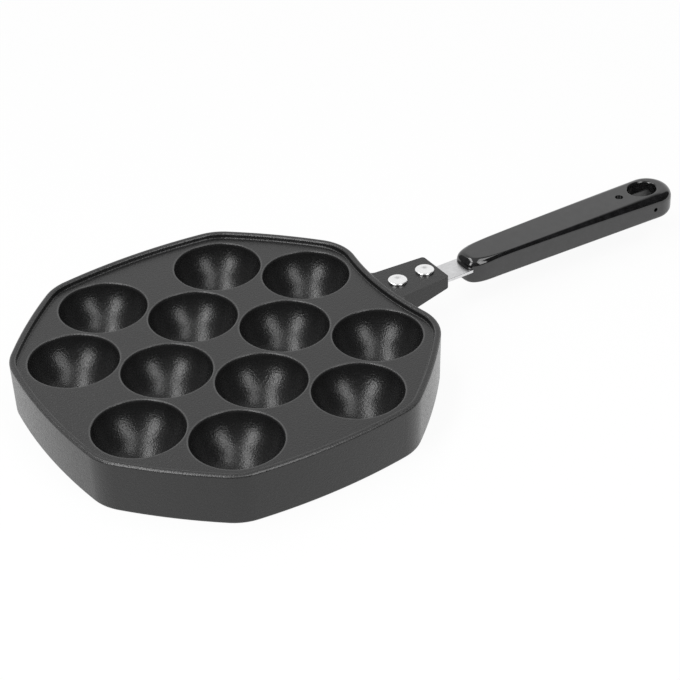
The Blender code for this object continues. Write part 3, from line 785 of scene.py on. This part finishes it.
def rim_mask(tree, place, plan):
    """Mask for the painted highlight: one halfway round the shoulders of the rim, fading to nothing at
    their top and foot.
    """
    drop = plan.sizes.rim_edge * (1 - cos(pi / 4))
    from_rim = maths(tree, "SUBTRACT", axes(tree, place)["Z"], plan.rim_z - drop)
    return ramp(tree, maths(tree, "ABSOLUTE", from_rim), drop, 0.0)


def coating_material(finishes, plan):
    """Dark satin coating: a pebble grain, lighter flecks, and a painted highlight on the lips and the rim's
    shoulders.
    """
    material, tree, shader, place = new_material("speckled_coating")
    pebbles = grain(tree, place, finishes.coating_grain, detail=2.0)
    flecks = grain(tree, place, finishes.coating_grain / 2, detail=0.0)
    lighter = maths(tree, "MULTIPLY", flecks["Peaks"], 0.5)
    share = maths(tree, "ADD", lighter, drift(tree, place, patch_size=0.03, middle=0.0, spread=0.5))
    lightest = toned(finishes.coating_colour, COATING_LIGHTEST)
    plain = mixed(tree, share, finishes.coating_colour, lightest)
    # Painted highlight: the coating is lightened towards a pale grey on the lips of the wells and on the
    # rim's shoulders, standing in for light that these edges catch.
    lips = maths(tree, "MULTIPLY", lip_mask(tree, place, plan), finishes.lip_painted_highlight)
    shoulders = maths(tree, "MULTIPLY", rim_mask(tree, place, plan), finishes.rim_painted_highlight)
    with_painted_highlight = mixed(tree, maths(tree, "MAXIMUM", lips, shoulders), plain, finishes.painted_highlight_colour)
    rough = drift(tree, place, finishes.coating_grain, finishes.coating_roughness, spread=0.30)
    coarse = bump(tree, pebbles["Height"], distance=0.00010)
    fine = bump(tree, flecks["Height"], distance=0.00005, normal=coarse)
    feed(tree, shader, {"Base Color": with_painted_highlight, "Roughness": rough, "Normal": fine})
    shader["IOR"].default_value = COATING_IOR
    return material


def grip_material(finishes):
    """Glossy black moulding with a faint flow ripple and a little dust haze."""
    material, tree, shader, place = new_material("glossy_black_moulding")
    ripple = grain(tree, place, grain_size=0.006, detail=1.0, stretch=(0.4, 1.0, 1.0))
    haze = drift(tree, place, patch_size=0.004, middle=0.4, spread=2.0)
    lightest = toned(finishes.grip_colour, GRIP_LIGHTEST)
    rough = drift(tree, place, patch_size=0.010, middle=finishes.grip_roughness, spread=0.06)
    shade = mixed(tree, haze, finishes.grip_colour, lightest)
    wavy = bump(tree, ripple["Height"], distance=0.00002)
    feed(tree, shader, {"Base Color": shade, "Roughness": rough, "Normal": wavy})
    shader["IOR"].default_value = GRIP_IOR
    return material


def metal_material(name, colour, roughness, mark_size, stretch, depth, dulled):
    """Bare metal with fine marks, whose low spots are dulled to a share of its colour."""
    material, tree, shader, place = new_material(name)
    marks = grain(tree, place, mark_size, detail=3.0, stretch=stretch)
    rough = drift(tree, place, patch_size=0.006, middle=roughness, spread=0.12)
    shade = mixed(tree, marks["Height"], toned(colour, dulled), colour)
    marked = bump(tree, marks["Height"], depth)
    feed(tree, shader, {"Base Color": shade, "Roughness": rough, "Normal": marked})
    shader["Metallic"].default_value = 1.0
    return material


def floor_material(studio):
    """Floor with the pan's shadow, white to the camera and, but for a strip under the grip, in gloss."""
    material = bpy.data.materials.new("pale_floor")
    tree = emptied(material)
    path = node(tree, "ShaderNodeLightPath").outputs
    plain = node(tree, "ShaderNodeBsdfDiffuse", {"Color": (*studio.floor_colour, 1.0)})
    glow = node(tree, "ShaderNodeEmission", {"Color": (1.0, 1.0, 1.0, 1.0), "Strength": 1.0})
    place = axes(tree, node(tree, "ShaderNodeTexCoord").outputs["Object"])
    margin, fade = 0.006, 0.006
    edge = GRIP_HIGH.y + margin
    aside = ramp(tree, maths(tree, "ABSOLUTE", place["Y"]), edge, edge + fade)
    clear = maths(tree, "MAXIMUM", aside, maths(tree, "LESS_THAN", place["X"], GRIP_LOW.x))
    mirrored = maths(tree, "MAXIMUM", path["Is Glossy Ray"], path["Is Transmission Ray"])
    shown = maths(tree, "MULTIPLY", path["Is Camera Ray"], FLOOR_WHITE)
    mix = node(tree, "ShaderNodeMixShader", {
        0: maths(tree, "MAXIMUM", shown, maths(tree, "MULTIPLY", mirrored, clear)),
        1: plain.outputs[0], 2: glow.outputs[0],
    })
    out = node(tree, "ShaderNodeOutputMaterial")
    tree.links.new(mix.outputs[0], out.inputs["Surface"])
    return material


class TAKOYAKI_OT_casting(bpy.types.Operator):
    """Build the coated casting with its wells, raised rim and lug"""

    bl_idname = "takoyaki.casting"
    bl_label = "Casting"

    def execute(self, context):
        scene = context.scene
        plan = CastingPlan(scene.takoyaki_casting)
        s = plan.sizes
        blank = loft("coated_casting", [plan.outline(*point) for point in plan.outside_section()])
        casting = add_object("coated_casting", blank)
        pocket = loft_tool("pocket", [plan.outline(*point) for point in plan.pocket_section()])
        lug = loft_tool("lug", plan.lug_rings())
        edges = lug.modifiers.new("Edges", "BEVEL")
        edges.width = s.lug_edge
        edges.segments = 4
        edges.limit_method = "ANGLE"
        edges.angle_limit = radians(50)
        bake_modifiers(lug)
        top = BAR_HIGH.z + FIT_GAP
        channel = bar_cutter(
            "channel", BAR_LOW.x - FIT_GAP, PAN_HIGH.x + OVERCUT, top - s.lug_root_thickness, top, steps=8
        )
        well = turned("well", plan.well_profile(), steps=96)
        under = turned("well_underside", plan.bump_profile(), steps=72)
        cast = casting.modifiers.new("Wells", "NODES")
        cast.node_group = casting_nodes()
        set_inputs(cast, {
            "Well Pitch": s.well_pitch, "Wells per Row": s.wells_per_row, "Grid Turn": s.grid_turn,
            "Pocket": pocket, "Lug": lug, "Bar Channel": channel, "Well": well,
            "Well Underside": under, "Material": coating_material(scene.takoyaki_finishes, plan),
        })
        bake_modifiers(casting)
        finish_surface(casting)
        drop([pocket, lug, channel, well, under])
        set_piece(casting, "coated_casting", "pan_body")
        return {"FINISHED"}


class TAKOYAKI_OT_rivets(bpy.types.Operator):
    """Set the two bright rivets that hold the bar in the lug"""

    bl_idname = "takoyaki.rivets"
    bl_label = "Rivets"

    def profile(self, s, seat):
        """(radius, z) of a rivet, down from the dish in its head to its formed tail."""
        head, top = (INNER_HIGH.x - INNER_LOW.x) / 2, INNER_HIGH.z
        dish, shank, tail = s.dish_diameter / 2, s.shank_diameter / 2, s.tail_diameter / 2
        crest, steps = dish * DISH_CREST, 10
        profile = []
        for i in range(steps):
            r = crest * i / steps
            profile.append((r, top - s.dish_depth * (1 + cos(pi * r / crest)) / 2))
        dome, bend = top - seat - s.head_rim, 2 / s.head_fullness
        for i in range(steps + 1):
            angle = pi / 2 * i / steps
            across, up = sin(angle) ** bend, max(0.0, cos(angle)) ** bend
            profile.append((crest + (head - crest) * across, seat + s.head_rim + dome * up))
        profile += arc(head - s.head_edge, seat + s.head_edge, s.head_edge, 0.0, -pi / 2, 4)
        tail_top, foot = BAR_LOW.z - FIT_GAP / 2, INNER_LOW.z
        cut = (tail_top - foot) / 2
        profile += [(shank, seat), (shank, tail_top), (tail, tail_top), (tail, foot + cut)]
        profile += [(tail - cut, foot), (0.0, foot)]
        return profile

    def execute(self, context):
        scene = context.scene
        seat = PAN_HIGH.z - scene.takoyaki_casting.lug_drop + FIT_GAP / 10
        shape = turned("rivet_shape", self.profile(scene.takoyaki_rivet, seat), steps=64)
        rivets = add_object("rivet_pair", bpy.data.meshes.new("rivet_pair"))
        finishes = scene.takoyaki_finishes
        metal = metal_material(
            "bright_rivet_metal", finishes.rivet_colour, finishes.rivet_roughness,
            mark_size=0.0012, stretch=(1.0, 1.0, 1.0), depth=0.00001, dulled=0.92,
        )
        row = rivets.modifiers.new("Row", "NODES")
        row.node_group = rivet_nodes()
        inner, outer = (INNER_LOW + INNER_HIGH) / 2, (OUTER_LOW + OUTER_HIGH) / 2
        set_inputs(row, {
            "Rivet": shape, "Rivets": 2, "First Place": (inner.x, 0.0, 0.0),
            "Spacing": outer.x - inner.x, "Material": metal,
        })
        bake_modifiers(rivets)
        finish_surface(rivets)
        drop([shape])
        set_piece(rivets, "rivet_metal", "inner_rivet", "outer_rivet")
        return {"FINISHED"}


class TAKOYAKI_OT_bar(bpy.types.Operator):
    """Give the steel bar its rolled, brushed finish"""

    bl_idname = "takoyaki.bar"
    bl_label = "Steel bar"

    def execute(self, context):
        finishes = context.scene.takoyaki_finishes
        steel = metal_material(
            "brushed_bar_steel", finishes.steel_colour, finishes.steel_roughness,
            mark_size=0.0011, stretch=(0.4, 1.0, 1.0), depth=0.000012, dulled=0.70,
        )
        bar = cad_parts["handle_bar"]
        bar.data.materials.clear()
        bar.data.materials.append(steel)
        return {"FINISHED"}


class TAKOYAKI_OT_grip(bpy.types.Operator):
    """Mould the grip with its hang hole, pit and pin hole"""

    bl_idname = "takoyaki.grip"
    bl_label = "Grip"

    def along(self, x):
        return (x - GRIP_LOW.x) / (GRIP_HIGH.x - GRIP_LOW.x)

    def half_width(self, s, x):
        return (s.near_width + (s.far_width - s.near_width) * self.along(x)) / 2

    def bottom(self, s, x):
        near = GRIP_HIGH.z - s.near_thickness
        return near + (GRIP_LOW.z - near) * self.along(x)

    def edge_radius(self, s, x, on_top):
        """Rounding of the edges at x: it grows towards the far end, and round the top of the nose."""
        if not on_top:
            return s.near_edge + (s.far_edge - s.near_edge) * self.along(x)
        nose = max(0.0, 1.0 - (x - GRIP_LOW.x) / s.nose_length)
        radius = s.near_edge + (s.far_top_edge - s.near_edge) * self.along(x) ** 2
        return radius + (s.nose_edge - s.near_edge) * nose

    def outline(self, s):
        """Plan of the grip: a full oval nose, widening sides and a round far end."""
        far, bend = s.far_width / 2, 2 / s.nose_fullness
        near_x, far_x = GRIP_LOW.x + s.nose_length, GRIP_HIGH.x - far
        upper = []
        steps = 24
        for i in range(1, steps + 1):
            angle = pi / 2 * i / steps
            x = near_x - s.nose_length * max(0.0, cos(angle)) ** bend
            upper.append((x, self.half_width(s, near_x) * sin(angle) ** bend))
        for i in range(1, steps):
            x = near_x + (far_x - near_x) * i / steps
            upper.append((x, self.half_width(s, x)))
        for i in range(steps):
            angle = pi / 2 - pi / 2 * i / steps
            upper.append((far_x + far * cos(angle), self.half_width(s, far_x) * sin(angle)))
        lower = [(x, -y) for x, y in upper]
        return [(GRIP_LOW.x, 0.0)] + lower + [(GRIP_HIGH.x, 0.0)] + list(reversed(upper))

    def blank(self, s):
        outline = self.outline(s)
        mesh = loft("moulded_grip", [
            [(x, y, self.bottom(s, x)) for x, y in outline], [(x, y, GRIP_HIGH.z) for x, y in outline],
        ])
        largest = max(s.nose_edge, s.far_top_edge)
        weights = mesh.attributes.new("bevel_weight_edge", "FLOAT", "EDGE")
        for edge in mesh.edges:
            start, end = (mesh.vertices[i].co for i in edge.vertices)
            if hypot(end.x - start.x, end.y - start.y) > WELD_DISTANCE:
                on_top = start.z > GRIP_HIGH.z - WELD_DISTANCE
                radius = self.edge_radius(s, (start.x + end.x) / 2, on_top)
                weights.data[edge.index].value = radius / largest
        grip = add_object("moulded_grip", mesh)
        rounding = grip.modifiers.new("Edges", "BEVEL")
        rounding.width = largest
        rounding.segments = 12
        rounding.limit_method = "WEIGHT"
        rounding.use_clamp_overlap = False
        return grip

    def hang_hole(self, s, x):
        """Oval cutter whose ends flare to round the hole's edges."""
        lip, steps, sides = s.hole_edge, 8, 64
        bottom, top = self.bottom(s, x), GRIP_HIGH.z
        levels = [(lip, bottom - OVERCUT)]
        levels += arc(lip, bottom + lip, lip, 3 * pi / 2, pi, steps)
        levels += arc(lip, top - lip, lip, pi, pi / 2, steps)
        levels.append((lip, top + OVERCUT))
        angles = [2 * pi * i / sides for i in range(sides)]
        rings = []
        for grow, z in levels:
            length, width = s.hole_length / 2 + grow, s.hole_width / 2 + grow
            rings.append([(x + length * cos(angle), width * sin(angle), z) for angle in angles])
        return loft_tool("hang_hole", rings)

    def execute(self, context):
        s = context.scene.takoyaki_grip
        grip = self.blank(s)
        hole_x = GRIP_HIGH.x - s.hole_end_wall - s.hole_length / 2
        hole = self.hang_hole(s, hole_x)
        low, top = BAR_LOW.z - FIT_GAP, BAR_HIGH.z + FIT_GAP
        slot = bar_cutter("slot", GRIP_LOW.x - OVERCUT, BAR_HIGH.x + FIT_GAP, low, top, steps=6)
        pit = cylinder("pit", s.pit_diameter / 2, s.pit_depth * 2, steps=40)
        pit.location = (hole_x - s.pit_spacing, 0.0, GRIP_HIGH.z)
        pin = cylinder("pin", s.pin_diameter / 2, s.pin_depth * 2, steps=32)
        pin.rotation_euler.x = pi / 2
        pin.location = (hole_x, -self.half_width(s, hole_x), (GRIP_HIGH.z + self.bottom(s, hole_x)) / 2)
        for tool in (hole, slot, pit, pin):
            cut_out(grip, tool)
        bake_modifiers(grip)
        weld(grip.data)
        grip.data.materials.append(grip_material(context.scene.takoyaki_finishes))
        finish_surface(grip)
        drop([hole, slot, pit, pin])
        set_piece(grip, "grip_moulding", "grip")
        return {"FINISHED"}


class TAKOYAKI_OT_studio(bpy.types.Operator):
    """Set up the pale floor, the softboxes, the white surround and the camera"""

    bl_idname = "takoyaki.studio"
    bl_label = "Studio"

    def floor(self, studio):
        mesh = bpy.data.meshes.new("studio_floor")
        shape = bmesh.new()
        bmesh.ops.create_circle(shape, cap_ends=True, segments=96, radius=3.0)
        bmesh.ops.translate(shape, verts=shape.verts, vec=(0.0, 0.0, PAN_LOW.z - FLOOR_GAP))
        shape.to_mesh(mesh)
        shape.free()
        add_object("studio_floor", mesh, floor_material(studio))

    def softbox(self, name, studio, distance, run):
        """Lamp at its aim, square to the pan, with its length along a plan direction."""
        azimuth, elevation = getattr(studio, name + "_aim")
        away = Vector((cos(azimuth) * cos(elevation), sin(azimuth) * cos(elevation), sin(elevation)))
        lamp = bpy.data.lights.new(name + "_softbox", "AREA")
        lamp.shape = "RECTANGLE"
        lamp.size, lamp.size_y = getattr(studio, name + "_size")
        lamp.energy = getattr(studio, name + "_strength") * pi * lamp.size * lamp.size_y
        item = add_object(name + "_softbox", lamp)
        along = Vector((cos(run), sin(run), 0.0))
        along = (along - away * along.dot(away)).normalized()
        square = Matrix((along.cross(away), along, away)).transposed()
        item.matrix_world = Matrix.Translation(away * distance) @ square.to_4x4()
        item.visible_camera = False

    def surround(self, studio):
        """White to the camera, and in gloss a backdrop and a ceiling in an otherwise dark room."""
        world = bpy.data.worlds.new("studio")
        bpy.context.scene.world = world
        tree = emptied(world)
        path = node(tree, "ShaderNodeLightPath").outputs
        way = node(tree, "ShaderNodeTexCoord").outputs["Generated"]
        view = (Vector(studio.camera_target) - Vector(studio.camera_place)).xy.normalized()
        height = axes(tree, way)["Z"]
        rightwards = vector_maths(tree, "DOT_PRODUCT", way, (view.y, -view.x, 0.0))
        onwards = vector_maths(tree, "DOT_PRODUCT", way, (view.x, view.y, 0.0))
        sideways = maths(tree, "ABSOLUTE", rightwards)
        limit = maths(tree, "MULTIPLY", sideways, 1 / tan(studio.backdrop_spread))
        top, foot = sin(studio.backdrop_top), sin(studio.ceiling_foot)
        top_fade, side_fade, foot_fade = 0.08, 0.1, 0.05
        below = ramp(tree, height, top + top_fade, top - top_fade)
        within = ramp(tree, maths(tree, "SUBTRACT", onwards, limit), -side_fade, side_fade)
        lit = maths(tree, "MULTIPLY", below, within, studio.backdrop_level)
        above = ramp(tree, height, foot - foot_fade, foot + foot_fade)
        ceiling = maths(tree, "MULTIPLY", above, studio.ceiling_level)
        around = maths(tree, "MAXIMUM", ceiling, studio.room_level)
        dark_from, light_from = 0.45, 0.05
        shaded = maths(tree, "MULTIPLY", around, ramp(tree, rightwards, dark_from, light_from))
        seen = maths(tree, "MAXIMUM", path["Is Camera Ray"], path["Is Transmission Ray"])
        level = maths(tree, "MAXIMUM", shaded, lit, studio.dark_level, seen)
        sky = node(tree, "ShaderNodeBackground", {"Color": (1.0, 1.0, 1.0, 1.0), "Strength": level})
        out = node(tree, "ShaderNodeOutputWorld")
        tree.links.new(sky.outputs[0], out.inputs["Surface"])

    def camera(self, studio):
        lens = bpy.data.cameras.new("camera")
        lens.sensor_width = 36.0
        lens.lens = studio.camera_lens
        lens.clip_start, lens.clip_end = 0.05, 20.0
        item = add_object("camera", lens)
        forward = (Vector(studio.camera_target) - Vector(studio.camera_place)).normalized()
        level = forward.cross(Vector((0.0, 0.0, 1.0))).normalized()
        rise = level.cross(forward)
        right = level * cos(studio.camera_roll) - rise * sin(studio.camera_roll)
        up = right.cross(forward)
        turn_matrix = Matrix((right, up, -forward)).transposed()
        item.matrix_world = Matrix.Translation(studio.camera_place) @ turn_matrix.to_4x4()
        bpy.context.scene.camera = item

    def execute(self, context):
        studio = context.scene.takoyaki_studio
        self.floor(studio)
        for name in ("side", "front"):
            self.softbox(name, studio, studio.low_distance, getattr(studio, name + "_aim")[0])
        for name in ("left", "right"):
            self.softbox(name, studio, studio.high_distance, studio.light_run)
        self.surround(studio)
        self.camera(studio)
        context.scene.view_settings.view_transform = "Standard"
        return {"FINISHED"}


class TAKOYAKI_PT_panel(bpy.types.Panel):
    """Buttons and sizes of the takoyaki pan"""

    bl_idname = "TAKOYAKI_PT_panel"
    bl_label = "Takoyaki Pan"
    bl_space_type = "VIEW_3D"
    bl_region_type = "UI"
    bl_category = "Takoyaki Pan"

    def draw(self, context):
        for label, place, group, operators in SECTIONS:
            box = self.layout.box()
            box.label(text=label)
            for name in group.__annotations__:
                box.prop(getattr(context.scene, place), name)
            for operator in operators:
                box.operator(operator.bl_idname)


SECTIONS = (
    ("Casting", "takoyaki_casting", CastingSizes, (TAKOYAKI_OT_casting,)),
    ("Rivets and bar", "takoyaki_rivet", RivetSizes, (TAKOYAKI_OT_rivets, TAKOYAKI_OT_bar)),
    ("Grip", "takoyaki_grip", GripSizes, (TAKOYAKI_OT_grip,)),
    ("Finishes", "takoyaki_finishes", Finishes, ()),
    ("Studio", "takoyaki_studio", StudioSettings, (TAKOYAKI_OT_studio,)),
)


def register():
    for _, place, group, operators in SECTIONS:
        for item in (group, *operators):
            bpy.utils.register_class(item)
        setattr(bpy.types.Scene, place, PointerProperty(type=group))
    bpy.utils.register_class(TAKOYAKI_PT_panel)


def unregister():
    bpy.utils.unregister_class(TAKOYAKI_PT_panel)
    for _, place, group, operators in reversed(SECTIONS):
        delattr(bpy.types.Scene, place)
        for item in (*reversed(operators), group):
            bpy.utils.unregister_class(item)


def main():
    register()
    bpy.ops.takoyaki.casting()
    bpy.ops.takoyaki.rivets()
    bpy.ops.takoyaki.bar()
    bpy.ops.takoyaki.grip()
    bpy.ops.takoyaki.studio()


if __name__ == "__main__":
    main()
